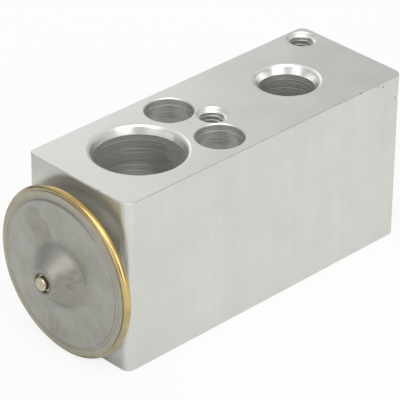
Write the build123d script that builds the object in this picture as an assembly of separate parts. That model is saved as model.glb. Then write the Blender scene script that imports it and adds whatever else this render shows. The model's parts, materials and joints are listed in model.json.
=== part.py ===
from build123d import *
import math
import os

# Block-type expansion valve, millimetres.
# Working frame: X runs from the head end of the block (x = 0) to its far end, Y across, Z up from
# the lower port face. The finished pieces are moved so that the origin is the bottom centre of the
# whole valve.

os.makedirs("parts", exist_ok=True)

# ---------------------------------------------------------------- block
body_length = 77.0
body_width = 28.5
body_height = 38.0
corner_radius = 2.0
edge_break = 0.2
axis_height = 18.25            # height of the common axis of head, rod, orifice and adjuster

# ---------------------------------------------------------------- ports
suction_x = 16.4
suction_mouth_radius = 9.75
suction_bore_radius = 9.15
suction_passage_radius = 7.5

inlet_from_end = 19.3          # high-pressure liquid, upper face
outlet_from_end = 32.0         # expanded liquid, lower face
liquid_mouth_radius = 6.7
liquid_bore_radius = 5.85
liquid_passage_radius = 4.0

port_depth = 12.0
port_chamfer_depth = 2.0
port_lip_radius = 0.8          # rounding between a port's chamfer and the face

# ---------------------------------------------------------------- screw and stud holes
screw_x = 31.4                 # two through screws beside the centre line
screw_spacing = 14.4
screw_hole_radius = 2.75
screw_head_radius = 5.0
screw_head_depth = 9.0
screw_head_edge = 0.2          # chamfer of the counterbore's mouth

thread_radius = 3.0            # M6, drawn at its nominal radius
thread_chamfer = 0.3
drill_point_angle = 59.0       # half angle of the drill's tip
stud_x = 36.4
stud_depth = 12.5
corner_hole_depth = 11.0
corner_hole_from_end = 4.25
corner_hole_from_side = 3.95

# ---------------------------------------------------------------- power head
diaphragm_x = -3.5             # middle plane of the diaphragm
diaphragm_thickness = 0.1
sheet_thickness = 0.6
flange_radius = 17.2
bead_radius = 0.85
bead_offset = 0.45             # from the diaphragm to the bead's middle, towards the block
bead_overhang = 0.9            # how far the bead stands out past the flange
base_rim_inner_radius = 16.3   # thicker edge of the lower casing, behind the bead
base_rim_thickness = 0.85
base_rim_edge = 0.25
cover_land_radius = 15.5
cover_step = 0.35
boss_base_radius = 6.8
boss_tip_radius = 2.9
boss_height = 4.3
cover_dish = 0.25              # slow rise of the cover from its land to the boss
land_bend = 0.5                # bend radii of the pressed cover
boss_base_bend = 1.8
boss_tip_bend = 1.0
charge_hole_radius = 1.95
plug_radius = 1.45
plug_projection = 0.75
plug_groove_depth = 0.42       # depth of the ring-shaped gap round the plug
plug_nose_radius = 0.4
corrugation_radius = 13.6      # to the middle of the two corrugations
corrugation_pitch = 1.3
corrugation_height = 0.25
corrugation_bend = 0.35        # bend radius of the sheet in a corrugation

neck_radius = 9.95
neck_length = 5.6
thread_lead = 0.6              # chamfer at the start of an outside thread
neck_bore_radius = 7.6
neck_hole_radius = 10.0
neck_hole_depth = 6.2
shoulder_radius = 12.4
base_floor_thickness = 1.6
dish_radius = 15.4

# ---------------------------------------------------------------- rod, pin, ball and carrier
stop_radius = 11.9
stop_thickness = 1.1
stop_hub_radius = 4.2
stop_hub_length = 3.6
rod_radius = 3.0
rod_socket_depth = 2.6
rod_passage_radius = 4.5
rod_end_room = 0.8             # free length of the guide bore past the rod
rod_chamfer = 0.3
pin_radius = 1.2
pin_socket_depth = 3.0
ball_radius = 2.78
ball_gap = 0.03                # ball to seat, valve shut
orifice_radius = 2.1
orifice_length = 2.5
outlet_overrun = 0.5           # outlet chamber past the upright passage
seat_chamfer = 0.3
carrier_radius = 5.2
carrier_thickness = 2.4
carrier_spigot_radius = 3.3
carrier_spigot_length = 2.0
ball_socket_depth = 1.3
carrier_nose_rim = 0.6         # flat ring round the ball's socket
carrier_nose_length = 0.8
small_chamfer = 0.4

# ---------------------------------------------------------------- seals and fits
running_gap = 0.03             # radial gap of every sliding or turning fit
seal_width = 1.6               # axial length of a squeezed O-ring
seal_thickness = 1.5           # radial thickness of a squeezed O-ring
seal_roundness = 0.42          # corner radius over the smaller side of its section
seal_end_play = 0.3            # free length of the rod seal in its pocket
retainer_thickness = 0.6

# ---------------------------------------------------------------- springs and adjuster
chamber_radius = 6.25
damper_sheet = 0.25
damper_finger_count = 4
damper_finger_width = 2.2
damper_finger_length = 3.2
damper_finger_reach = 0.55     # where a finger rubs, as a share of its length
damper_finger_turn = 45.0      # first finger, degrees round the axis
spring_wire_radius = 0.65
spring_radius = 4.4            # to the middle of the wire
spring_turns = 4
adjuster_radius = 7.0
adjuster_length = 10.4
adjuster_recess = 0.8          # outer end of the screw below the end face
adjuster_bore_depth = 13.0
adjuster_spigot_length = 1.8
adjuster_seal_from_end = 7.0   # outer end of the screw to the outer wall of the groove
hex_across_flats = 6.0
hex_depth = 5.0

# ---------------------------------------------------------------- values worked out from these
cover_front_x = diaphragm_x - diaphragm_thickness / 2 - sheet_thickness
base_back_x = diaphragm_x + diaphragm_thickness / 2 + sheet_thickness
boss_tip_x = cover_front_x - cover_step - cover_dish - boss_height
plug_tip_x = boss_tip_x - plug_projection
base_rim_back_x = base_back_x + base_rim_thickness
stop_front_x = diaphragm_x + diaphragm_thickness / 2
stop_back_x = stop_front_x + stop_thickness
stop_end_x = stop_back_x + stop_hub_length
rod_start_x = stop_end_x - rod_socket_depth
guide_radius = rod_radius + running_gap
seal_inner_radius = rod_radius + running_gap
seal_pocket_radius = seal_inner_radius + seal_thickness
web_x = suction_x + suction_passage_radius
seal_pocket_end_x = web_x + retainer_thickness + seal_width + seal_end_play
inlet_x = body_length - inlet_from_end
outlet_x = body_length - outlet_from_end
guide_end_x = (seal_pocket_end_x + outlet_x - liquid_passage_radius) / 2
rod_end_x = guide_end_x - rod_end_room
orifice_start_x = outlet_x + liquid_passage_radius + outlet_overrun
seat_x = orifice_start_x + orifice_length
seat_edge_x = seat_x - seat_chamfer
ball_x = seat_edge_x + math.sqrt((ball_radius + ball_gap) ** 2 - orifice_radius ** 2)
carrier_x = ball_x + ball_radius - ball_socket_depth
carrier_back_x = carrier_x + carrier_thickness
spring_start_x = carrier_back_x + damper_sheet
adjuster_end_x = body_length - adjuster_recess
adjuster_face_x = adjuster_end_x - adjuster_length
adjuster_bore_x = body_length - adjuster_bore_depth
groove_end_x = adjuster_end_x - adjuster_seal_from_end
groove_start_x = groove_end_x - seal_width - 2 * running_gap
groove_radius = adjuster_radius - seal_thickness
origin_shift = Pos(-(body_length + plug_tip_x) / 2, 0, 0)
tiny = 0.5                     # overrun of a cut past the face that it opens


def turned(*points):
    """Solid turned about the valve's long axis from a closed (x, radius) outline."""
    outline = make_face(Polyline(*points, close=True))
    return Pos(0, 0, axis_height) * revolve(Plane.XZ * outline, Axis.X)


def turned_upright(x, y, *points):
    """Solid turned about an upright line through (x, y) from a closed (radius, z) outline."""
    outline = make_face(Polyline(*points, close=True))
    return Pos(x, y, 0) * revolve(Plane.XZ * outline, Axis.Z)


def bar(start_x, end_x, radius):
    """Round bar along the valve's long axis."""
    return turned((start_x, 0), (start_x, radius), (end_x, radius), (end_x, 0))


def squeezed_ring(start_x, end_x, inner_radius, outer_radius):
    """O-ring as it sits in its groove, pressed flat on the walls that it touches."""
    width = end_x - start_x
    height = outer_radius - inner_radius
    section = Pos(start_x + width / 2, inner_radius + height / 2) * RectangleRounded(
        width, height, seal_roundness * min(width, height)
    )
    return Pos(0, 0, axis_height) * revolve(Plane.XZ * section, Axis.X)


def port(x, mouth_radius, bore_radius, passage_radius, passage_end_z):
    """Cutter for a port of the upper face: chamfered mouth, spigot bore and narrower passage."""
    top = body_height
    return turned_upright(
        x, 0,
        (0, top + tiny),
        (mouth_radius + tiny * (mouth_radius - bore_radius) / port_chamfer_depth, top + tiny),
        (bore_radius, top - port_chamfer_depth),
        (bore_radius, top - port_depth),
        (passage_radius, top - port_depth),
        (passage_radius, passage_end_z),
        (0, passage_end_z),
    )


def threaded_hole(x, y, depth):
    """Cutter for a blind tapped hole of the upper face, drawn at the thread's nominal radius."""
    top = body_height
    tip = thread_radius / math.tan(math.radians(drill_point_angle))
    mouth = thread_radius + thread_chamfer
    return turned_upright(
        x, y,
        (0, top + tiny),
        (mouth + tiny, top + tiny),
        (thread_radius, top - thread_chamfer),
        (thread_radius, top - depth),
        (0, top - depth - tip),
    )


def screw_hole(y):
    """Cutter for a counterbored through hole of a flange screw."""
    seat_z = body_height - screw_head_depth
    return turned_upright(
        screw_x, y,
        (0, body_height + tiny),
        (screw_head_radius + screw_head_edge + tiny, body_height + tiny),
        (screw_head_radius, body_height - screw_head_edge),
        (screw_head_radius, seat_z),
        (screw_hole_radius, seat_z),
        (screw_hole_radius, -tiny),
        (0, -tiny),
    )


def lower_face(cutter):
    """The same cutter, for the lower face."""
    return mirror(cutter, Plane.XY.offset(body_height / 2))


def make_valve_block():
    """Extruded bar with upright corners rounded, its ports, screw holes and long stepped bore."""
    bar_section = RectangleRounded(body_length, body_width, corner_radius)
    block = Pos(body_length / 2, 0, 0) * extrude(bar_section, body_height)
    rims = block.faces().sort_by(Axis.Z)[0].edges() + block.faces().sort_by(Axis.Z)[-1].edges()
    block = chamfer(rims, edge_break)

    block -= port(suction_x, suction_mouth_radius, suction_bore_radius,
                  suction_passage_radius, body_height / 2)
    block -= lower_face(port(suction_x, suction_mouth_radius, suction_bore_radius,
                             suction_passage_radius, body_height / 2))
    block -= port(inlet_x, liquid_mouth_radius, liquid_bore_radius,
                  liquid_passage_radius, axis_height)
    block -= lower_face(port(outlet_x, liquid_mouth_radius, liquid_bore_radius,
                             liquid_passage_radius, body_height - axis_height))
    mouths = [edge for edge in block.edges().filter_by(GeomType.CIRCLE)
              if round(edge.radius, 3) in (suction_mouth_radius, liquid_mouth_radius)]
    block = fillet(mouths, port_lip_radius)
    for side in (-1, 1):
        block -= screw_hole(side * screw_spacing / 2)
    block -= threaded_hole(stud_x, 0, stud_depth)
    block -= threaded_hole(body_length - corner_hole_from_end,
                           body_width / 2 - corner_hole_from_side, corner_hole_depth)

    seal_mouth_radius = neck_hole_radius + seal_thickness
    block -= turned(
        (-tiny, 0),
        (-tiny, seal_mouth_radius),
        (seal_width, seal_mouth_radius),
        (seal_width, neck_hole_radius),
        (neck_hole_depth, neck_hole_radius),
        (neck_hole_depth, rod_passage_radius),
        (suction_x, rod_passage_radius),
        (suction_x, seal_pocket_radius),
        (seal_pocket_end_x, seal_pocket_radius),
        (seal_pocket_end_x, guide_radius),
        (guide_end_x, guide_radius),
        (guide_end_x, pin_radius + running_gap),
        (outlet_x, pin_radius + running_gap),
        (outlet_x, 0),
    )
    block -= turned(
        (outlet_x, 0),
        (outlet_x, liquid_passage_radius),
        (orifice_start_x, liquid_passage_radius),
        (orifice_start_x, orifice_radius),
        (seat_edge_x, orifice_radius),
        (seat_x, orifice_radius + seat_chamfer),
        (seat_x, chamber_radius),
        (adjuster_bore_x, chamber_radius),
        (adjuster_bore_x, adjuster_radius + running_gap),
        (body_length + tiny, adjuster_radius + running_gap),
        (body_length + tiny, 0),
    )
    return block


def make_head_cover():
    """Pressed casing: flat flange, one step, slow dish, conical boss with the charge hole."""
    face_x = cover_front_x - cover_step
    outer_line = FilletPolyline(
        (cover_front_x, flange_radius),
        (cover_front_x, cover_land_radius + cover_step),
        (face_x, cover_land_radius - cover_step),
        (face_x - cover_dish, boss_base_radius),
        (boss_tip_x, boss_tip_radius),
        (boss_tip_x, charge_hole_radius),
        radius=[land_bend, land_bend, boss_base_bend, boss_tip_bend],
    )
    sheet = make_face(offset(outer_line, sheet_thickness, side=Side.LEFT, closed=True).edges())
    return Pos(0, 0, axis_height) * revolve(Plane.XZ * sheet, Axis.X)


def make_head_base():
    """Dished casing with flat shoulder and the hollow neck that screws into the block."""
    flange_x = diaphragm_x + diaphragm_thickness / 2
    floor_x = -base_floor_thickness
    slope = -base_back_x / (dish_radius - shoulder_radius)
    inner_radius = dish_radius - sheet_thickness * math.sqrt(1 + slope ** 2) / slope
    return turned(
        (flange_x, flange_radius),
        (flange_x, inner_radius + sheet_thickness / slope),
        (floor_x, inner_radius - (floor_x - base_back_x) / slope),
        (floor_x, neck_bore_radius),
        (neck_length, neck_bore_radius),
        (neck_length, neck_radius - thread_lead),
        (neck_length - thread_lead, neck_radius),
        (0, neck_radius),
        (0, shoulder_radius),
        (base_back_x, dish_radius),
        (base_back_x, base_rim_inner_radius),
        (base_rim_back_x, base_rim_inner_radius),
        (base_rim_back_x, flange_radius - base_rim_edge),
        (base_rim_back_x - base_rim_edge, flange_radius),
    )


def make_rim_weld():
    """Weld bead, round outside, closed over the edges of the three flanges."""
    centre_radius = flange_radius + bead_overhang - bead_radius
    ring = Plane.XZ * (Pos(diaphragm_x + bead_offset, centre_radius) * Circle(bead_radius))
    bead = Pos(0, 0, axis_height) * revolve(ring, Axis.X)
    return bead - turned(
        (cover_front_x, 0), (cover_front_x, flange_radius),
        (base_rim_back_x, flange_radius), (base_rim_back_x, 0),
    )


def make_diaphragm():
    """Thin disc, flat in the middle, with two round corrugations near its rim."""
    line = FilletPolyline(
        (diaphragm_x, 0),
        (diaphragm_x, corrugation_radius - corrugation_pitch),
        (diaphragm_x - corrugation_height, corrugation_radius - corrugation_pitch / 2),
        (diaphragm_x + corrugation_height, corrugation_radius + corrugation_pitch / 2),
        (diaphragm_x, corrugation_radius + corrugation_pitch),
        (diaphragm_x, flange_radius),
        radius=corrugation_bend,
    )
    sheet = Pos(-diaphragm_thickness / 2, 0) * line
    sheet = make_face(offset(sheet, diaphragm_thickness, side=Side.RIGHT, closed=True).edges())
    return Pos(0, 0, axis_height) * revolve(Plane.XZ * sheet, Axis.X)


def make_charge_plug():
    """Stepped plug: a collar that fills the charge hole and a round-edged nose."""
    collar_x = boss_tip_x + plug_groove_depth
    plug = turned(
        (plug_tip_x, 0), (plug_tip_x, plug_radius),
        (collar_x, plug_radius), (collar_x, charge_hole_radius),
        (boss_tip_x + sheet_thickness, charge_hole_radius), (boss_tip_x + sheet_thickness, 0),
    )
    nose = plug.edges().filter_by(GeomType.CIRCLE).sort_by(Axis.X)[0]
    return fillet(nose, plug_nose_radius)


def make_diaphragm_stop():
    """Plate under the diaphragm, with the hub that takes the rod."""
    return turned(
        (stop_front_x, 0), (stop_front_x, stop_radius - small_chamfer),
        (stop_front_x + small_chamfer, stop_radius), (stop_back_x, stop_radius),
        (stop_back_x, stop_hub_radius), (stop_end_x, stop_hub_radius),
        (stop_end_x, rod_radius), (rod_start_x, rod_radius), (rod_start_x, 0),
    )


def make_sensing_rod():
    """Round rod, chamfered at both ends, with a blind socket for the pin."""
    rod = bar(rod_start_x, rod_end_x, rod_radius)
    rod = chamfer(rod.edges().filter_by(GeomType.CIRCLE), rod_chamfer)
    return rod - bar(rod_end_x - pin_socket_depth, rod_end_x + tiny, pin_radius)


def make_seal_retainer():
    """Push-in ring in the mouth of the seal's pocket."""
    ring = bar(web_x, web_x + retainer_thickness, seal_pocket_radius)
    return ring - bar(web_x - tiny, web_x + tiny + retainer_thickness, guide_radius)


def make_valve_pin():
    return bar(rod_end_x - pin_socket_depth, ball_x - ball_radius, pin_radius)


def make_ball_carrier():
    """Disc with a cone for the ball in front and the spring's spigot behind."""
    rim = math.sqrt(ball_radius ** 2 - (ball_radius - ball_socket_depth) ** 2)
    spigot_end_x = spring_start_x + carrier_spigot_length
    disc = turned(
        (carrier_x, 0), (carrier_x, rim + carrier_nose_rim),
        (carrier_x + carrier_nose_length, carrier_radius),
        (carrier_back_x, carrier_radius), (carrier_back_x, carrier_spigot_radius),
        (spigot_end_x - small_chamfer, carrier_spigot_radius),
        (spigot_end_x, carrier_spigot_radius - small_chamfer),
        (spigot_end_x, 0),
    )
    return disc - make_valve_ball()


def make_valve_ball():
    return Pos(ball_x, 0, axis_height) * Rot(Y=90) * Sphere(ball_radius)


def make_damper_spring():
    """Ring under the coil spring, with bent fingers that rub on the chamber's wall."""
    ring = bar(carrier_back_x, spring_start_x, carrier_radius + damper_sheet)
    ring -= bar(carrier_back_x - tiny, spring_start_x + tiny, carrier_spigot_radius)
    root_radius = carrier_radius + damper_sheet / 2
    rub_radius = chamber_radius - running_gap - 0.75 * damper_sheet
    finger_line = Polyline(
        (carrier_back_x + damper_sheet / 2, root_radius),
        (carrier_back_x - damper_finger_reach * damper_finger_length, rub_radius),
        (carrier_back_x - damper_finger_length, root_radius + damper_sheet),
    )
    profile = trace(finger_line, damper_sheet)
    strip = extrude(Plane.XZ * profile, damper_finger_width / 2, both=True)
    for index in range(damper_finger_count):
        turn = Rot(X=damper_finger_turn + index * 360 / damper_finger_count)
        ring += Pos(0, 0, axis_height) * turn * strip
    ring -= bar(carrier_back_x - damper_finger_length - tiny, carrier_back_x, carrier_radius)
    return ring


def make_superheat_spring():
    """Coil spring, its end coils ground flat on the damper ring and on the screw."""
    length = adjuster_face_x - spring_start_x
    coil = Helix(length / spring_turns, length, spring_radius, direction=(1, 0, 0))
    wire = sweep(Plane(origin=coil @ 0, z_dir=coil % 0) * Circle(spring_wire_radius), path=coil)
    ground = Pos(length / 2, 0, 0) * Box(length, body_width, body_height)
    return Pos(spring_start_x, 0, axis_height) * (wire & ground)


def make_adjusting_screw():
    """Round screw with seal groove, spring spigot and hex socket."""
    spigot_radius = carrier_spigot_radius
    spigot_x = adjuster_face_x - adjuster_spigot_length
    screw = turned(
        (spigot_x, 0),
        (spigot_x, spigot_radius - small_chamfer),
        (spigot_x + small_chamfer, spigot_radius),
        (adjuster_face_x, spigot_radius),
        (adjuster_face_x, adjuster_radius - thread_lead),
        (adjuster_face_x + thread_lead, adjuster_radius),
        (groove_start_x, adjuster_radius),
        (groove_start_x, groove_radius - running_gap),
        (groove_end_x, groove_radius - running_gap),
        (groove_end_x, adjuster_radius),
        (adjuster_end_x - thread_lead, adjuster_radius),
        (adjuster_end_x, adjuster_radius - thread_lead),
        (adjuster_end_x, 0),
    )
    hexagon = RegularPolygon(hex_across_flats / 2, 6, major_radius=False)
    socket = Plane.YZ.offset(adjuster_end_x - hex_depth) * hexagon
    return screw - Pos(0, 0, axis_height) * extrude(socket, hex_depth + tiny)


pieces = {
    "valve_block": make_valve_block(),
    "head_cover": make_head_cover(),
    "head_base": make_head_base(),
    "rim_weld": make_rim_weld(),
    "charge_plug": make_charge_plug(),
    "diaphragm": make_diaphragm(),
    "head_seal": squeezed_ring(0, seal_width, neck_radius, neck_hole_radius + seal_thickness),
    "diaphragm_stop": make_diaphragm_stop(),
    "sensing_rod": make_sensing_rod(),
    "rod_seal": squeezed_ring(seal_pocket_end_x - seal_width, seal_pocket_end_x,
                              seal_inner_radius, seal_pocket_radius),
    "seal_retainer": make_seal_retainer(),
    "valve_pin": make_valve_pin(),
    "valve_ball": make_valve_ball(),
    "ball_carrier": make_ball_carrier(),
    "damper_spring": make_damper_spring(),
    "superheat_spring": make_superheat_spring(),
    "adjusting_screw": make_adjusting_screw(),
    "adjuster_seal": squeezed_ring(groove_start_x + running_gap, groove_end_x - running_gap,
                                   groove_radius, adjuster_radius),
}

for name, piece in pieces.items():
    export_step(origin_shift * piece, f"parts/{name}.step")
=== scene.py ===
"""Looks of a block-type expansion valve: machined aluminium block, pressed stainless power head."""
import json
import math

import bmesh
import bpy
from mathutils import Matrix, Quaternion, Vector


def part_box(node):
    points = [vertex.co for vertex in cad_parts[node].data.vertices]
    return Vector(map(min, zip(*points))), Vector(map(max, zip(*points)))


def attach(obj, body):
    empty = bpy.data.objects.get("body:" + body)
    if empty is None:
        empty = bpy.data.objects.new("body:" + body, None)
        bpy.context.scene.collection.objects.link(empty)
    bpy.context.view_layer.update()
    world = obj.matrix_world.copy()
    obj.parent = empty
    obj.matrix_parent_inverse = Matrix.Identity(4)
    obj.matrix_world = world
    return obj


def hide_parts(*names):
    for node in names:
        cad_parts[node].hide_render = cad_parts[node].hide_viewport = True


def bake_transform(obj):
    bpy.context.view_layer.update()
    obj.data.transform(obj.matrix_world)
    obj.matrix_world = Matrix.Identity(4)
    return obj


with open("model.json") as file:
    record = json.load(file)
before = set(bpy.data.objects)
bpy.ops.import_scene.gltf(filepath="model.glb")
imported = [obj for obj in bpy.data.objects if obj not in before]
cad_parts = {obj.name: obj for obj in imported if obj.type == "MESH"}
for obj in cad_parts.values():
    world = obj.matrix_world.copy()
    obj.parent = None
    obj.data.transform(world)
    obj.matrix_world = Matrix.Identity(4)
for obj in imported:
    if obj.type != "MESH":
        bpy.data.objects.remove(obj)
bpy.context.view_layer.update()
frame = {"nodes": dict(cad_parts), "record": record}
nodes = frame["nodes"]

MM = 0.001

# ------------------------------------------------------------------ places, from the frame
block_low, block_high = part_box("valve_block")
rim_low, rim_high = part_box("rim_weld")
mounts = {mount["name"]: mount for mount in frame["record"]["mounts"]}
head_axis = Vector((0, 0, (rim_low.z + rim_high.z) / 2))

PORTS = ("suction_outlet", "suction_inlet", "liquid_inlet", "liquid_outlet")
SCREW_SEATS = ("screw_head_seat_near", "screw_head_seat_far")
THREADED = ("flange_thread", "corner_thread")


# ------------------------------------------------------------------ node helpers
def colour(hex_code):
    """A hex colour as the linear RGBA that the shader nodes take."""
    channels = [int(hex_code[i:i + 2], 16) / 255 for i in (1, 3, 5)]
    linear = [c / 12.92 if c <= 0.04045 else ((c + 0.055) / 1.055) ** 2.4 for c in channels]
    return (*linear, 1)


def node(tree, kind, inputs=None, **settings):
    """Adds a node with its settings; an input is a value, a socket, or a node's first output."""
    made = tree.nodes.new(kind)
    for name, value in settings.items():
        setattr(made, name, value)
    for key, value in (inputs or {}).items():
        if isinstance(value, bpy.types.Node):
            value = next(out for out in value.outputs if out.enabled)
        if isinstance(value, bpy.types.NodeSocket):
            tree.links.new(value, made.inputs[key])
        else:
            made.inputs[key].default_value = value
    return made


def surface(name, metallic=1.0):
    """A material with one Principled shader; returns it, its tree, shader and place on the part."""
    made = bpy.data.materials.new(name)
    made.use_nodes = True
    tree = made.node_tree
    shader = tree.nodes["Principled BSDF"]
    shader.inputs["Metallic"].default_value = metallic
    place = node(tree, "ShaderNodeTexCoord").outputs["Object"]
    return made, tree, shader, place


def patches(tree, place, size, low, high, stretch=(1, 1, 1), detail=2.0):
    """Soft random patches of a real size in metres, as a number from low to high."""
    scaled = node(tree, "ShaderNodeMapping", {"Vector": place, "Scale": stretch})
    noise = node(tree, "ShaderNodeTexNoise",
                 {"Vector": scaled, "Scale": 1 / size, "Detail": detail, "Roughness": 0.55})
    return node(tree, "ShaderNodeMapRange", {"Value": noise, "From Min": 0.3, "From Max": 0.7,
                                             "To Min": low, "To Max": high})


def lathe_lines(tree, across, pitch, low, high):
    """Tool lines that repeat about once a pitch along a depth or a radius, both in metres."""
    turns = node(tree, "ShaderNodeMath", {0: across, 1: 1 / pitch}, operation="MULTIPLY")
    lines = node(tree, "ShaderNodeTexNoise", {"W": turns, "Scale": 1.0, "Detail": 3.0,
                                              "Roughness": 0.7}, noise_dimensions="1D")
    return node(tree, "ShaderNodeMapRange", {"Value": lines, "From Min": 0.3, "From Max": 0.7,
                                             "To Min": low, "To Max": high})


def tint(tree, share, under, over, most=1.0):
    """Lays a colour over another where share is 1, covering it by at most a part."""
    share = node(tree, "ShaderNodeMath", {0: share, 1: most}, operation="MULTIPLY")
    return node(tree, "ShaderNodeMix", {0: share, 6: under, 7: over}, data_type="RGBA")


def radius_about_x(tree, place, y=0.0, z=0.0):
    """Distance from a line along X, in metres."""
    offset = node(tree, "ShaderNodeVectorMath", {0: place, 1: (0, y, z)}, operation="SUBTRACT")
    flat = node(tree, "ShaderNodeVectorMath", {0: offset, 1: (0, 1, 1)}, operation="MULTIPLY")
    return node(tree, "ShaderNodeVectorMath", {0: flat}, operation="LENGTH")


def radius_about_head(tree, place):
    """Distance from the axis of the power head and the valve train, in metres."""
    return radius_about_x(tree, place, head_axis.y, head_axis.z)


def relief(tree, shader, height, depth):
    """Fine relief on the shader: height from 0 to 1 stands for depth, in metres."""
    bump = node(tree, "ShaderNodeBump", {"Height": height, "Strength": 1.0, "Distance": depth})
    tree.links.new(bump.outputs[0], shader.inputs["Normal"])


def finish_metal(tree, shader, base, roughness):
    """Links a colour and a roughness pattern to the shader."""
    tree.links.new(next(out for out in base.outputs if out.enabled), shader.inputs["Base Color"])
    tree.links.new(roughness.outputs[0], shader.inputs["Roughness"])


# ------------------------------------------------------------------ the block's finish
PORT_CHAMFER = 1.3 * MM           # a port's mouth is at most this much wider than its bore
PASSAGE_REACH = 7.1 * MM          # from the block's middle height to the end of a spigot bore
ON_WALL = 0.05 * MM               # how near to a bore's radius a point is on its wall
UNDER_FACE = 0.02 * MM            # how far below the port faces the bores' walls begin
CLEAR_OF_HOLES = 1.5 * MM         # the countersinks of the holes end before this
# outer and inner radius of the painted light round the power head
GAP_LIGHT_EDGE = (17 * MM, 22 * MM)

# handling nicks along the upper edges: place and size in millimetres
NICKS = ((30.8, -14.2, 37.95, 0.4), (35.9, -14.25, 37.5, 0.35), (37.4, -14.25, 37.0, 0.45),
         (41.2, -14.25, 33.0, 0.4), (-33.55, -6.0, 37.95, 0.45))


def hole_gaps(tree, place):
    """How far a point is outside the nearest bore's wall, and outside the nearest port's mouth."""
    wall_gap = mouth_gap = 1.0
    for name in PORTS + SCREW_SEATS + THREADED:
        x, y, _ = mounts[name]["pos_m"]
        radius = mounts[name]["dims"]["r_mm"] * MM
        offset = node(tree, "ShaderNodeVectorMath", {0: place, 1: (x, y, 0)},
                      operation="SUBTRACT")
        flat = node(tree, "ShaderNodeVectorMath", {0: offset, 1: (1, 1, 0)},
                    operation="MULTIPLY")
        arm = node(tree, "ShaderNodeVectorMath", {0: flat}, operation="LENGTH")
        gap = node(tree, "ShaderNodeMath", {0: arm, 1: radius}, operation="SUBTRACT")
        wall_gap = node(tree, "ShaderNodeMath", {0: wall_gap, 1: gap}, operation="MINIMUM")
        if name in PORTS:
            mouth = node(tree, "ShaderNodeMath", {0: gap, 1: PORT_CHAMFER}, operation="SUBTRACT")
            mouth_gap = node(tree, "ShaderNodeMath", {0: mouth_gap, 1: mouth},
                             operation="MINIMUM")
    return wall_gap, mouth_gap


def nick_marks(tree, place):
    """1 in the middle of each handling nick, 0 away from them."""
    nicks = 0.0
    for x, y, z, size in NICKS:
        way = node(tree, "ShaderNodeVectorMath", {0: place, 1: (x * MM, y * MM, z * MM)},
                   operation="DISTANCE")
        nick = node(tree, "ShaderNodeMapRange", {"Value": way, "From Min": size * MM,
                                                 "From Max": 0.4 * size * MM})
        nicks = node(tree, "ShaderNodeMath", {0: nicks, 1: nick}, operation="MAXIMUM")
    return nicks


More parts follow.
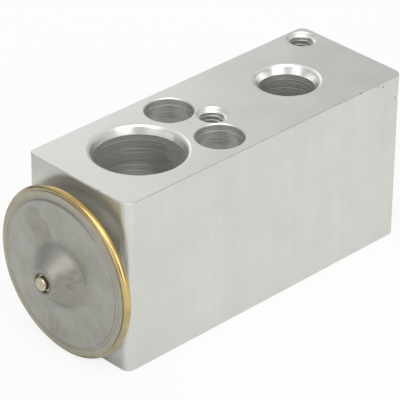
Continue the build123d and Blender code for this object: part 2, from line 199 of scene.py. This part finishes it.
def milled_aluminium():
    """Extruded 6063 bar, face milled across its ends, tumbled and left uncoated.

    The sides keep faint lines from the die, the bores have the reamer's rings and are painted paler
    as painted light, the ports' mouths are burnished and painted near white as a painted highlight,
    and the broken edges are dull and painted darker as painted shade.
    """
    made, tree, shader, place = surface("milled_aluminium")
    height = node(tree, "ShaderNodeSeparateXYZ", {0: place}).outputs["Z"]
    facing = node(tree, "ShaderNodeSeparateXYZ",
                  {0: node(tree, "ShaderNodeNewGeometry").outputs["Normal"]})
    upright = node(tree, "ShaderNodeMath", {0: facing.outputs["Z"]}, operation="ABSOLUTE")
    # both ends are sawn, and painted a little greyer as painted shade on the faces turned away from
    # the lamps
    endwise = node(tree, "ShaderNodeMath", {0: facing.outputs["X"]}, operation="ABSOLUTE")
    on_end = node(tree, "ShaderNodeMapRange", {"Value": endwise, "From Min": 0.8,
                                               "From Max": 1.0})
    # round the power head the end is spot faced and smoother, and painted brighter as painted light
    # in the shaded gap behind the head
    gap_light = node(tree, "ShaderNodeMapRange",
                {"Value": radius_about_head(tree, place), "From Min": GAP_LIGHT_EDGE[1],
                 "From Max": GAP_LIGHT_EDGE[0], "To Max": 0.5}, interpolation_type="SMOOTHSTEP")
    gap_light = node(tree, "ShaderNodeMath", {0: gap_light, 1: on_end}, operation="MULTIPLY")

    wall_gap, mouth_gap = hole_gaps(tree, place)
    middle = (block_low.z + block_high.z) / 2
    off_middle = node(tree, "ShaderNodeMath", {0: height, 1: middle}, operation="SUBTRACT")
    off_middle = node(tree, "ShaderNodeMath", {0: off_middle}, operation="ABSOLUTE")
    inside = node(tree, "ShaderNodeMath", {0: off_middle, 1: block_high.z - middle - UNDER_FACE},
                  operation="LESS_THAN")
    on_wall = node(tree, "ShaderNodeMath", {0: wall_gap, 1: ON_WALL}, operation="LESS_THAN")
    on_wall = node(tree, "ShaderNodeMath", {0: on_wall, 1: inside}, operation="MULTIPLY")
    in_mouth = node(tree, "ShaderNodeMath", {0: mouth_gap, 1: ON_WALL}, operation="LESS_THAN")
    in_mouth = node(tree, "ShaderNodeMath", {0: in_mouth, 1: inside}, operation="MULTIPLY")
    on_chamfer = node(tree, "ShaderNodeMath", {0: in_mouth, 1: on_wall}, operation="SUBTRACT",
                      use_clamp=True)
    # below the spigot bores the passages are left as drilled, and painted darker as painted shade
    # deep in the block
    deep_shade = node(tree, "ShaderNodeMath", {0: off_middle, 1: PASSAGE_REACH}, operation="LESS_THAN")
    # the block's broken edges, clear of any hole, are tumbled dull, and painted darker as painted
    # shade along them
    slanted = node(tree, "ShaderNodeMath", {0: upright, 1: 0.7, 2: 0.15}, operation="COMPARE")
    clear = node(tree, "ShaderNodeMath", {0: wall_gap, 1: CLEAR_OF_HOLES},
                 operation="GREATER_THAN")
    on_edge = node(tree, "ShaderNodeMath", {0: slanted, 1: clear}, operation="MULTIPLY")

    # die lines run up the sides; a die line is 0.05 mm wide, drawn as 1.5 mm bands to show
    die_lines = patches(tree, place, 1.5 * MM, 0, 1, stretch=(1, 1, 0.02), detail=3.0)
    side = node(tree, "ShaderNodeMath", {0: 1.0, 1: upright}, operation="SUBTRACT",
                use_clamp=True)
    die_lines = node(tree, "ShaderNodeMath", {0: die_lines, 1: side}, operation="MULTIPLY")
    # the reamer's feed is 0.15 mm a turn, drawn about three times as coarse to show
    rings = lathe_lines(tree, height, 0.5 * MM, 0, 1)
    rings = node(tree, "ShaderNodeMath", {0: rings, 1: on_wall}, operation="MULTIPLY")
    # the tumbling media's dimples, 0.3 mm across
    dimples = patches(tree, place, 0.3 * MM, 0, 1, detail=1.0)
    clouds = patches(tree, place, 9 * MM, 0, 1)
    nicks = nick_marks(tree, place)

    # painted light: the bore walls are paler than the block's faces, to lift the shade down the
    # bores; the reamer's rings are paler still
    wall = tint(tree, rings, colour("#E2E4DF"), colour("#EEF0EC"))
    # painted shade: the passages below the spigot bores are dark
    wall = tint(tree, deep_shade, wall, colour("#9A9D96"))
    base = tint(tree, clouds, colour("#D8DBD5"), colour("#E0E2DD"))
    base = tint(tree, die_lines, base, colour("#CDD0CA"), most=0.2)
    # painted shade: the end faces are greyer
    base = tint(tree, on_end, base, colour("#C2C4BF"))
    # painted light: the end is paler round the power head, where the gap behind the head lies in
    # shade
    base = tint(tree, gap_light, base, colour("#E4E4DF"))
    base = tint(tree, on_wall, base, wall)
    # painted highlight: the ports' mouths are near white
    base = tint(tree, on_chamfer, base, colour("#F2F3F0"))
    # painted shade: the broken edges are darker
    base = tint(tree, on_edge, base, colour("#C9CBC6"))
    base = tint(tree, nicks, base, colour("#8B8D88"), most=0.6)

    rough = node(tree, "ShaderNodeMapRange", {"Value": clouds, "To Min": 0.36, "To Max": 0.42})
    for where, change in ((on_chamfer, -0.09), (gap_light, -0.06), (on_edge, 0.2)):
        rough = node(tree, "ShaderNodeMath", {0: where, 1: change, 2: rough},
                     operation="MULTIPLY_ADD")
    finish_metal(tree, shader, base, rough)

    # heights are in dimple depths; a ring is drawn as high as it needs to show
    heights = dimples
    for pattern, rise in ((rings, 32.0), (die_lines, 0.2), (nicks, -25.0)):
        heights = node(tree, "ShaderNodeMath", {0: pattern, 1: rise, 2: heights},
                       operation="MULTIPLY_ADD")
    relief(tree, shader, heights, 0.0012 * MM)
    return made


# ------------------------------------------------------------------ the power head's finishes
PRESS_MARKS = ((7.3, 27.6, 3.5), (4.9, 26.3, 3.3))    # y, z and radius in millimetres
PRESS_MARK_EDGE = 1.6 * MM
RUBBED_PLACE = (-5.0 * MM, 20.2 * MM)                 # y and z
GROOVE_SHADE_LINES = ((15.5, 0.12), (16.1, 0.1))           # radius and half width in millimetres


def pressed_stainless():
    """Cold-rolled 304 sheet, deep drawn: satin, with draw rings, stains and press marks."""
    made, tree, shader, place = surface("pressed_stainless")
    radius = radius_about_head(tree, place)
    rings = lathe_lines(tree, radius, 0.7 * MM, 0, 1)
    stains = patches(tree, place, 5 * MM, 0.2, 0.8, detail=5.0)
    haze = patches(tree, place, 1.2 * MM, 0, 1, detail=4.0)

    # faint round marks that the assembly press leaves above the boss, paler inside
    marks = 0.0
    for y, z, size in PRESS_MARKS:
        arm = radius_about_x(tree, place, y * MM, z * MM)
        mark = node(tree, "ShaderNodeMapRange",
                    {"Value": arm, "From Min": size * MM,
                     "From Max": size * MM - PRESS_MARK_EDGE}, interpolation_type="SMOOTHSTEP")
        pale = node(tree, "ShaderNodeMapRange",
                    {"Value": arm, "From Min": (size - 0.6) * MM, "From Max": (size - 2.2) * MM,
                     "To Max": 0.35}, interpolation_type="SMOOTHSTEP")
        mark = node(tree, "ShaderNodeMath", {0: mark, 1: pale}, operation="SUBTRACT")
        marks = node(tree, "ShaderNodeMath", {0: marks, 1: mark}, operation="MAXIMUM")
    worn = patches(tree, place, 2.2 * MM, 0.35, 1, detail=4.0)
    marks = node(tree, "ShaderNodeMath", {0: marks, 1: worn}, operation="MULTIPLY")

    # the drawn boss is duller, and painted darker as painted shade that damps its highlight; it is
    # rubbed where the plug's electrode touched it
    drawn_boss_and_shade = node(tree, "ShaderNodeMapRange", {"Value": radius, "From Min": 9 * MM,
                                              "From Max": 6.5 * MM},
                 interpolation_type="SMOOTHSTEP")
    rubbed = node(tree, "ShaderNodeMapRange",
                  {"Value": radius_about_x(tree, place, *RUBBED_PLACE),
                   "From Min": 3.4 * MM, "From Max": 0.8 * MM}, interpolation_type="SMOOTHSTEP")
    rubs = patches(tree, place, 1.1 * MM, 0, 1, stretch=(1, 0.6, 1.4), detail=5.0)
    rubbed = node(tree, "ShaderNodeMath", {0: rubbed, 1: rubs}, operation="MULTIPLY")
    # the weld's heat leaves a straw band beside the bead; two fine dark lines inside it are painted
    # shade of fine grooves
    straw = node(tree, "ShaderNodeMapRange", {"Value": radius, "From Min": 15.2 * MM,
                                              "From Max": 16.3 * MM},
                 interpolation_type="SMOOTHSTEP")
    lines = 0.0
    for at, half_width in GROOVE_SHADE_LINES:
        line = node(tree, "ShaderNodeMath", {0: radius, 1: at * MM, 2: half_width * MM},
                    operation="COMPARE")
        lines = node(tree, "ShaderNodeMath", {0: lines, 1: line}, operation="ADD")
    # soot of the plug's weld, and painted shade of the gap round the plug, dark in the charging
    # hole
    soot_and_hole_shade = node(tree, "ShaderNodeMapRange", {"Value": radius, "From Min": 2.5 * MM,
                                             "From Max": 1.9 * MM})

    base = tint(tree, stains, colour("#B4B3AD"), colour("#96948D"))
    # painted shade: the darker boss, the two fine dark lines and the dark charging hole
    for share, over, most in ((haze, "#BAB9B4", 0.3), (marks, "#85827A", 0.7),
                              (drawn_boss_and_shade, "#9A9891", 0.5), (rubbed, "#77756F", 0.7),
                              (straw, "#B2AA8E", 0.4), (lines, "#6E6A5C", 0.35),
                              (soot_and_hole_shade, "#6A6252", 1.0)):
        base = tint(tree, share, base, colour(over), most)
    rough = node(tree, "ShaderNodeMapRange", {"Value": stains, "To Min": 0.36, "To Max": 0.44})
    rough = node(tree, "ShaderNodeMath", {0: drawn_boss_and_shade, 1: 0.1, 2: rough}, operation="MULTIPLY_ADD")
    finish_metal(tree, shader, base, rough)
    # the rings are one and a half times as high as the haze
    heights = node(tree, "ShaderNodeMath", {0: rings, 1: 1.5, 2: haze}, operation="MULTIPLY_ADD")
    relief(tree, shader, heights, 0.002 * MM)
    return made


def bright_stainless():
    """Bright-annealed 304 sheet of the lower casing: cleaner and smoother than the cover."""
    made, tree, shader, place = surface("bright_stainless")
    rings = lathe_lines(tree, radius_about_head(tree, place), 0.5 * MM, 0, 1)
    base = tint(tree, patches(tree, place, 4 * MM, 0, 1, detail=4.0),
                colour("#E4E2DB"), colour("#D4D1C8"))
    finish_metal(tree, shader, base, patches(tree, place, 2 * MM, 0.22, 0.3))
    relief(tree, shader, rings, 0.003 * MM)
    return made


def heat_tinted_weld():
    """Laser-welded stainless seam: a smooth bead that the heat turned straw, gold and brown; its
    gold on the upper right is partly painted light and its olive on the lower left painted shade.
    """
    made, tree, shader, place = surface("heat_tinted_weld")
    parts = node(tree, "ShaderNodeSeparateXYZ", {0: place})
    up = node(tree, "ShaderNodeMath", {0: parts.outputs["Z"], 1: head_axis.z},
              operation="SUBTRACT")
    # painted light and shade: the tint is gold towards the upper right, where the lamps fall, and
    # olive towards the lower left, varied at random
    heat_and_light_side = node(tree, "ShaderNodeMath", {0: parts.outputs["Y"], 1: -0.7}, operation="MULTIPLY")
    heat_and_light_side = node(tree, "ShaderNodeMath", {0: up, 1: 0.7, 2: heat_and_light_side}, operation="MULTIPLY_ADD")
    flicker = patches(tree, place, 2.5 * MM, -2.5 * MM, 2.5 * MM, detail=4.0)
    heat_and_light_side = node(tree, "ShaderNodeMath", {0: heat_and_light_side, 1: flicker}, operation="ADD")
    gold_and_lit_side = node(tree, "ShaderNodeMapRange", {"Value": heat_and_light_side, "From Min": 6 * MM,
                                             "From Max": 15 * MM, "To Min": 0.1},
                interpolation_type="SMOOTHSTEP")
    # the tint starts on the crown of the bead; its front lip stays pale
    crown = node(tree, "ShaderNodeMapRange",
                 {"Value": parts.outputs["X"], "From Min": rim_low.x,
                  "From Max": rim_low.x + 0.35 * MM, "To Min": 0.3},
                 interpolation_type="SMOOTHSTEP")
    gold_and_lit_side = node(tree, "ShaderNodeMath", {0: gold_and_lit_side, 1: crown}, operation="MULTIPLY")
    # the back of the bead is brown, and its crown browner in places
    back = node(tree, "ShaderNodeMapRange",
                {"Value": parts.outputs["X"], "From Min": rim_high.x - 0.8 * MM,
                 "From Max": rim_high.x - 0.3 * MM, "To Max": 0.75},
                interpolation_type="SMOOTHSTEP")
    brown = patches(tree, place, 4 * MM, 0, 0.35, detail=3.0)
    brown = node(tree, "ShaderNodeMath", {0: brown, 1: back}, operation="MAXIMUM")
    # the lower left side is painted a darker olive, painted shade away from the lamps
    cold_and_shaded_side = node(tree, "ShaderNodeMapRange", {"Value": heat_and_light_side, "From Min": 0, "From Max": -11 * MM},
                interpolation_type="SMOOTHSTEP")
    # painted shade in olive on the lower left, painted light in gold on the upper right
    base = tint(tree, cold_and_shaded_side, colour("#B4AD94"), colour("#736D5A"), most=0.9)
    base = tint(tree, gold_and_lit_side, base, colour("#DEC07A"))
    base = tint(tree, brown, base, colour("#8A6A3A"))
    finish_metal(tree, shader, base, patches(tree, place, 0.8 * MM, 0.13, 0.22))
    relief(tree, shader, patches(tree, place, 0.6 * MM, 0, 1), 0.002 * MM)
    return made


def resistance_welded_plug():
    """Steel plug, resistance welded into the charging hole: rounded and faintly browned."""
    made, tree, shader, place = surface("resistance_welded_plug")
    stains = patches(tree, place, 0.9 * MM, 0, 1, detail=3.0)
    base = tint(tree, stains, colour("#D2CAB8"), colour("#B0A48C"))
    finish_metal(tree, shader, base, patches(tree, place, 0.5 * MM, 0.25, 0.4))
    relief(tree, shader, stains, 0.02 * MM)
    return made


# ------------------------------------------------------------------ finishes of the inner pieces
def rolled_stainless():
    """Thin spring-hard stainless strip, bright from the rolls."""
    made, tree, shader, place = surface("rolled_stainless")
    grain = patches(tree, place, 0.5 * MM, 0, 1, stretch=(1, 0.05, 1), detail=3.0)
    base = tint(tree, grain, colour("#C9C9C7"), colour("#B9B9B6"))
    finish_metal(tree, shader, base, patches(tree, place, 2 * MM, 0.16, 0.26))
    relief(tree, shader, grain, 0.001 * MM)
    return made


def turned_stainless():
    """Free-machining stainless bar, turned on a lathe about the valve's axis."""
    made, tree, shader, place = surface("turned_stainless")
    along = node(tree, "ShaderNodeSeparateXYZ", {0: place}).outputs["X"]
    travel = node(tree, "ShaderNodeMath", {0: along, 1: radius_about_head(tree, place)},
                  operation="ADD")
    lines = lathe_lines(tree, travel, 0.2 * MM, 0, 1)
    base = tint(tree, lines, colour("#C4C5C5"), colour("#AFB0B0"))
    finish_metal(tree, shader, base, patches(tree, place, 1.5 * MM, 0.22, 0.34))
    relief(tree, shader, lines, 0.003 * MM)
    return made


def turned_aluminium():
    """Aluminium rod, turned and polished, with fine lines round it."""
    made, tree, shader, place = surface("turned_aluminium")
    along = node(tree, "ShaderNodeSeparateXYZ", {0: place}).outputs["X"]
    lines = lathe_lines(tree, along, 0.25 * MM, 0, 1)
    base = tint(tree, lines, colour("#DDDEDC"), colour("#C9CAC8"))
    finish_metal(tree, shader, base, patches(tree, place, 2 * MM, 0.24, 0.36))
    relief(tree, shader, lines, 0.003 * MM)
    return made


def drawn_spring_wire():
    """Hard-drawn carbon spring wire, phosphated grey, with a trace of oil."""
    made, tree, shader, place = surface("drawn_spring_wire")
    stains = patches(tree, place, 1.2 * MM, 0, 1, detail=4.0)
    base = tint(tree, stains, colour("#8B8C8E"), colour("#6C6C6E"))
    finish_metal(tree, shader, base, patches(tree, place, 0.8 * MM, 0.28, 0.42))
    relief(tree, shader, patches(tree, place, 0.3 * MM, 0, 1), 0.002 * MM)
    return made


def turned_brass():
    """Free-cutting brass bar, turned, with its hexagon broached; dulled slightly by handling."""
    made, tree, shader, place = surface("turned_brass")
    lines = lathe_lines(tree, radius_about_head(tree, place), 0.25 * MM, 0, 1)
    dull = patches(tree, place, 2.5 * MM, 0, 1, detail=4.0)
    base = tint(tree, dull, colour("#DDBB72"), colour("#B8924E"))
    base = tint(tree, lines, base, colour("#EBD093"), most=0.3)
    rough = node(tree, "ShaderNodeMapRange", {"Value": dull, "To Min": 0.22, "To Max": 0.38})
    finish_metal(tree, shader, base, rough)
    relief(tree, shader, lines, 0.004 * MM)
    return made


def moulded_rubber():
    """Black HNBR seal ring, compression moulded, with a thin film of oil."""
    made, tree, shader, place = surface("moulded_rubber", metallic=0.0)
    shader.inputs["IOR"].default_value = 1.52
    bloom = patches(tree, place, 1.5 * MM, 0, 1, detail=4.0)
    base = tint(tree, bloom, colour("#1B1B1C"), colour("#2B2B2C"))
    finish_metal(tree, shader, base, patches(tree, place, 0.8 * MM, 0.4, 0.58))
    relief(tree, shader, bloom, 0.004 * MM)
    return made


def dress(made, *names):
    """Gives CAD nodes their material."""
    for name in names:
        nodes[name].data.materials.clear()
        nodes[name].data.materials.append(made)


aluminium = milled_aluminium()
spring_wire = drawn_spring_wire()
dress(aluminium, "valve_block")
dress(pressed_stainless(), "head_cover")
dress(bright_stainless(), "head_base")
dress(heat_tinted_weld(), "rim_weld")
dress(resistance_welded_plug(), "charge_plug")
dress(rolled_stainless(), "diaphragm", "seal_retainer", "damper_spring")
dress(turned_stainless(), "diaphragm_stop", "valve_pin", "valve_ball", "ball_carrier")
dress(turned_aluminium(), "sensing_rod")
dress(spring_wire, "superheat_spring")
dress(turned_brass(), "adjusting_screw")
dress(moulded_rubber(), "head_seal", "rod_seal", "adjuster_seal")


# ------------------------------------------------------------------ pieces wound as a helix
STEPS_PER_TURN = 48

THREAD_PITCH = 1.0 * MM           # coarse M6
THREAD_CREST_RADIUS = 2.46 * MM   # minor radius of an M6 nut thread
ROOT_HALF_WIDTH = 0.46            # of a pitch
CREST_HALF_WIDTH = 0.125          # of a pitch
COUNTERSINK_RADIUS = 3.3 * MM
THREAD_LEAD = 0.07 * MM           # the helix starts this far above the face
BLIND_TURNS = 1.5                 # turns short of the hole's bottom where the tap stopped
SINK = 0.04 * MM                  # how deep the ridge's root sits in the wall

SPRING_WIRE_RADIUS = 0.65 * MM
SPRING_TURNS = 4
WIRE_SIDES = 24


def finish_piece(bm, name, material):
    """Turns a bmesh into a piece of the scene, with its faces outwards."""
    bmesh.ops.recalc_face_normals(bm, faces=bm.faces)
    mesh = bpy.data.meshes.new(name)
    bm.to_mesh(mesh)
    bm.free()
    mesh.materials.append(material)
    piece = bpy.data.objects.new(name, mesh)
    bpy.context.scene.collection.objects.link(piece)
    return piece


def cut_thread(name, hole, face_z):
    """Sweeps a nut thread's ridge down a tapped hole as a helix, with a trapezoid section.

    The countersink has cut the first turn's crest away along its 45 degree cone, and the last
    turn runs out into the wall.
    """
    x, y, _ = hole["pos_m"]
    wall = hole["dims"]["r_mm"] * MM
    start = face_z + THREAD_LEAD
    turns = hole["dims"]["length_mm"] * MM / THREAD_PITCH - BLIND_TURNS
    steps = round(turns * STEPS_PER_TURN)
    bm = bmesh.new()
    section = [(wall + SINK, ROOT_HALF_WIDTH), (THREAD_CREST_RADIUS, CREST_HALF_WIDTH),
               (THREAD_CREST_RADIUS, -CREST_HALF_WIDTH), (wall + SINK, -ROOT_HALF_WIDTH)]
    corners = [bm.verts.new((x + r, y, start + z * THREAD_PITCH)) for r, z in section]
    rib = bm.faces.new(corners)
    bmesh.ops.spin(bm, geom=[rib], cent=(x, y, 0), axis=(0, 0, -1),
                   dvec=(0, 0, -THREAD_PITCH / STEPS_PER_TURN),
                   angle=math.tau * steps / STEPS_PER_TURN, steps=steps)
    end = start - turns * THREAD_PITCH
    for vert in bm.verts:
        vert.co.z = min(vert.co.z, face_z - SINK)
        arm = Vector((vert.co.x - x, vert.co.y - y, 0))
        cone = COUNTERSINK_RADIUS - (face_z - vert.co.z)
        if cone > wall:
            cone += SINK
        left = min(1, max(0, (vert.co.z - end) / THREAD_PITCH))
        reach = wall + SINK + (arm.length - wall - SINK) * left
        arm *= max(reach, cone) / arm.length
        vert.co.x, vert.co.y = x + arm.x, y + arm.y
    thread = finish_piece(bm, name, aluminium)
    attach(thread, "valve_body")


def close_ends(bm):
    """Fills the open ends of a wire with flat faces that keep their sharp rims."""
    rims = [edge for edge in bm.edges if edge.is_boundary]
    caps = bmesh.ops.holes_fill(bm, edges=rims)["faces"]
    for cap in caps:
        cap.smooth = False
        for edge in cap.edges:
            edge.smooth = False
    bmesh.ops.triangulate(bm, faces=caps)


def wind_half_spring(name, start, end, ground, coil_radius):
    """Winds half of the coil spring from start to end, and grinds it flat at its outer end."""
    turns = SPRING_TURNS // 2
    steps = turns * STEPS_PER_TURN
    bm = bmesh.new()
    section = bmesh.ops.create_circle(bm, cap_ends=True, segments=WIRE_SIDES,
                                      radius=SPRING_WIRE_RADIUS)["verts"]
    bmesh.ops.rotate(bm, verts=section, matrix=Matrix.Rotation(math.pi / 2, 3, "X"))
    bmesh.ops.translate(bm, verts=section, vec=start + Vector((0, 0, coil_radius)))
    bmesh.ops.spin(bm, geom=bm.faces[:], cent=start, axis=(1, 0, 0),
                   dvec=(end - start) / steps, angle=math.tau * turns, steps=steps)
    for face in bm.faces:
        face.smooth = len(face.verts) == 4
    close_ends(bm)
    outward = (ground - (start + end) / 2).normalized()
    bmesh.ops.bisect_plane(bm, geom=bm.verts[:] + bm.edges[:] + bm.faces[:], plane_co=ground,
                           plane_no=outward, clear_outer=True)
    close_ends(bm)
    half = finish_piece(bm, name, spring_wire)
    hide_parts("superheat_spring")
    return half


def fit_superheat_spring():
    """Two halves of the coil spring: one wound from the carrier's seat to the middle, one from the
    middle to the screw.
    """
    low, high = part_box("superheat_spring")
    coil_radius = (high.y - low.y) / 2 - SPRING_WIRE_RADIUS
    seat = Vector((low.x, 0, head_axis.z))
    screw = Vector((high.x, 0, head_axis.z))
    middle = (seat + screw) / 2
    half = wind_half_spring("spring_half_at_carrier", seat, middle, seat, coil_radius)
    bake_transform(half)
    half = wind_half_spring("spring_half_at_screw", middle, screw, screw, coil_radius)
    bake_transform(half)


for name in THREADED:
    cut_thread(name, mounts[name], block_high.z)
fit_superheat_spring()


# ------------------------------------------------------------------ floor, light, camera
FLOOR_HALF_WIDTH = 2.0
HOLD_WHITE = 0.86                 # share of plain white in what the camera sees of the floor
MIRRORED_WHITE = 0.1              # share of plain white in what the metal mirrors of it

VIEW_AZIMUTH, VIEW_ELEVATION, VIEW_ROLL = (math.radians(a) for a in (44.667, 30.856, 0.644))
CAMERA_DISTANCE = 566.34 * MM
CAMERA_TARGET = Vector((1.945, 2.336, 17.611)) * MM
LENS = 251.88                     # millimetres, on a sensor 36 mm wide
SOFTBOX_TARGET = Vector((0, 0, 0.02))


def build_floor():
    """Pale studio floor, white to the eye, with the valve's soft shadow kept."""
    bm = bmesh.new()
    bmesh.ops.create_grid(bm, x_segments=1, y_segments=1, size=FLOOR_HALF_WIDTH)
    mesh = bpy.data.meshes.new("floor")
    bm.to_mesh(mesh)
    bm.free()
    floor = bpy.data.objects.new("floor", mesh)
    floor.location = (0, 0, block_low.z)
    bpy.context.scene.collection.objects.link(floor)
    made = bpy.data.materials.new("matt_white_paper")
    made.use_nodes = True
    tree = made.node_tree
    shader = tree.nodes["Principled BSDF"]
    shader.inputs["Base Color"].default_value = (0.83, 0.83, 0.82, 1)
    shader.inputs["Roughness"].default_value = 0.9
    path = node(tree, "ShaderNodeLightPath")
    white = node(tree, "ShaderNodeEmission", {"Strength": 1.0, "Color": (1, 1, 1, 1)})
    share = node(tree, "ShaderNodeMath", {0: path.outputs["Is Camera Ray"], 1: HOLD_WHITE},
                 operation="MULTIPLY")
    share = node(tree, "ShaderNodeMath", {0: path.outputs["Is Glossy Ray"], 1: MIRRORED_WHITE,
                                          2: share}, operation="MULTIPLY_ADD")
    mix = node(tree, "ShaderNodeMixShader", {0: share, 1: shader.outputs[0], 2: white})
    tree.links.new(mix.outputs[0], tree.nodes["Material Output"].inputs["Surface"])
    mesh.materials.append(made)


def build_world():
    """Even white studio, dimmer near the horizon, plain white behind the valve."""
    world = bpy.data.worlds.new("studio")
    bpy.context.scene.world = world
    world.use_nodes = True
    tree = world.node_tree
    back = tree.nodes["Background"]
    way = node(tree, "ShaderNodeTexCoord").outputs["Generated"]
    climb = node(tree, "ShaderNodeSeparateXYZ", {0: way}).outputs["Z"]
    level = node(tree, "ShaderNodeMapRange", {"Value": climb, "From Min": 0.0, "From Max": 0.6,
                                              "To Min": 0.34, "To Max": 0.69},
                 interpolation_type="SMOOTHSTEP")
    back.inputs["Color"].default_value = (1, 1, 1, 1)
    tree.links.new(level.outputs[0], back.inputs["Strength"])
    path = node(tree, "ShaderNodeLightPath")
    seen = node(tree, "ShaderNodeBackground", {"Color": (1, 1, 1, 1), "Strength": 1.0})
    mix = node(tree, "ShaderNodeMixShader",
               {0: path.outputs["Is Camera Ray"], 1: back.outputs[0], 2: seen.outputs[0]})
    tree.links.new(mix.outputs[0], tree.nodes["World Output"].inputs["Surface"])


def add_softbox(name, ahead, right, up, size, brightness):
    """Rectangular lamp that faces the valve, placed in metres as seen from behind the camera."""
    toward = Vector((-math.sin(VIEW_AZIMUTH), -math.cos(VIEW_AZIMUTH), 0))
    sideways = Vector((math.cos(VIEW_AZIMUTH), -math.sin(VIEW_AZIMUTH), 0))
    lamp = bpy.data.lights.new(name, "AREA")
    lamp.shape = "RECTANGLE"
    lamp.size, lamp.size_y = size
    lamp.energy = brightness * math.pi * lamp.size * lamp.size_y
    holder = bpy.data.objects.new(name, lamp)
    holder.location = toward * ahead + sideways * right + Vector((0, 0, up))
    back = (holder.location - SOFTBOX_TARGET).normalized()
    across = (sideways - back * sideways.dot(back)).normalized()
    holder.rotation_euler = Matrix((across, back.cross(across), back)).transposed().to_euler()
    holder.visible_camera = False
    bpy.context.scene.collection.objects.link(holder)


def place_camera():
    """Long lens, from the head end and the near side."""
    forward = Vector((math.sin(VIEW_AZIMUTH) * math.cos(VIEW_ELEVATION),
                      math.cos(VIEW_AZIMUTH) * math.cos(VIEW_ELEVATION),
                      -math.sin(VIEW_ELEVATION)))
    camera = bpy.data.objects.new("camera", bpy.data.cameras.new("camera"))
    camera.data.sensor_width = 36
    camera.data.lens = LENS
    camera.data.clip_start = 0.05
    camera.location = CAMERA_TARGET - forward * CAMERA_DISTANCE
    turn = forward.to_track_quat("-Z", "Y") @ Quaternion((0, 0, 1), VIEW_ROLL)
    camera.rotation_euler = turn.to_euler()
    bpy.context.scene.collection.objects.link(camera)
    bpy.context.scene.camera = camera


build_floor()
build_world()
add_softbox("left_softbox", ahead=0.62, right=-0.44, up=0.25, size=(0.5, 0.5), brightness=0.75)
add_softbox("right_softbox", ahead=0.62, right=0.44, up=0.25, size=(0.5, 0.5), brightness=1.6)
add_softbox("top_softbox", ahead=0.5, right=0.0, up=0.85, size=(1.2, 0.8), brightness=1.5)
add_softbox("back_softbox", ahead=-0.35, right=-0.14, up=0.22, size=(0.3, 0.3), brightness=0.5)
place_camera()
bpy.context.scene.view_settings.view_transform = "Standard"
